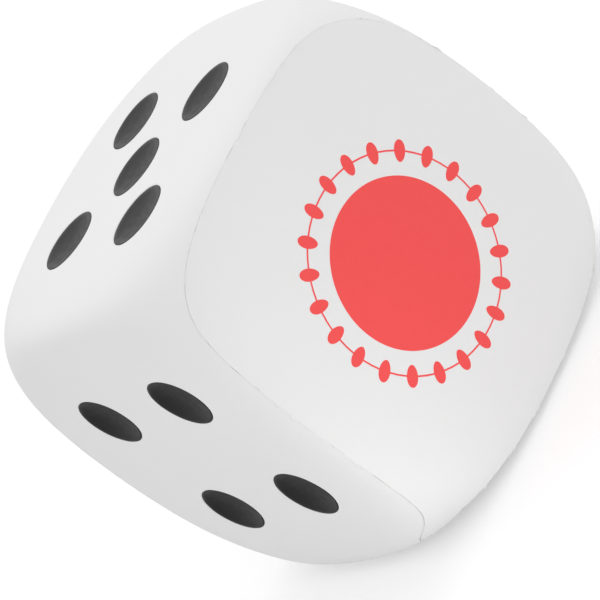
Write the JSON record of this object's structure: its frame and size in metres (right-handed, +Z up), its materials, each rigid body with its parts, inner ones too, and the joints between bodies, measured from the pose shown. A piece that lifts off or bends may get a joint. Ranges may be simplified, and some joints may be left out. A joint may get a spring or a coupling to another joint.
{
  "type": "giant foam yard die",
  "caption": "Large soft moulded-foam die with rounded corners and edges, scooped black pips and a plain printed disc in a ring of ovals on the one face.",
  "frame": {"origin": "middle of the base: the centre of the resting two-pip face's footprint, at the surface the die stands on", "axes": "+Z up, out of the five-pip face; the printed face (the one) looks along -Y, six along +Y, four along -X, three along +X, two along -Z"},
  "size_m": [0.15, 0.1458, 0.15],
  "materials": {
    "foam": "soft open-cell polyurethane foam",
    "skin": "matte white moulded polyurethane skin",
    "pip_paint": "satin black paint",
    "print_ink": "satin coral pad-printed ink"
  },
  "bodies": {
    "root": {"foam_core": "foam", "cup_skin": "skin", "lid_skin": "skin", "pip_paint_2_1": "pip_paint", "pip_paint_2_2": "pip_paint", "pip_paint_3_1": "pip_paint", "pip_paint_3_2": "pip_paint", "pip_paint_3_3": "pip_paint", "pip_paint_4_1": "pip_paint", "pip_paint_4_2": "pip_paint", "pip_paint_4_3": "pip_paint", "pip_paint_4_4": "pip_paint", "pip_paint_5_1": "pip_paint", "pip_paint_5_2": "pip_paint", "pip_paint_5_3": "pip_paint", "pip_paint_5_4": "pip_paint", "pip_paint_5_5": "pip_paint", "pip_paint_6_1": "pip_paint", "pip_paint_6_2": "pip_paint", "pip_paint_6_3": "pip_paint", "pip_paint_6_4": "pip_paint", "pip_paint_6_5": "pip_paint", "pip_paint_6_6": "pip_paint", "print_disc": "print_ink", "print_ring": "print_ink"}
  },
  "joints": []
}
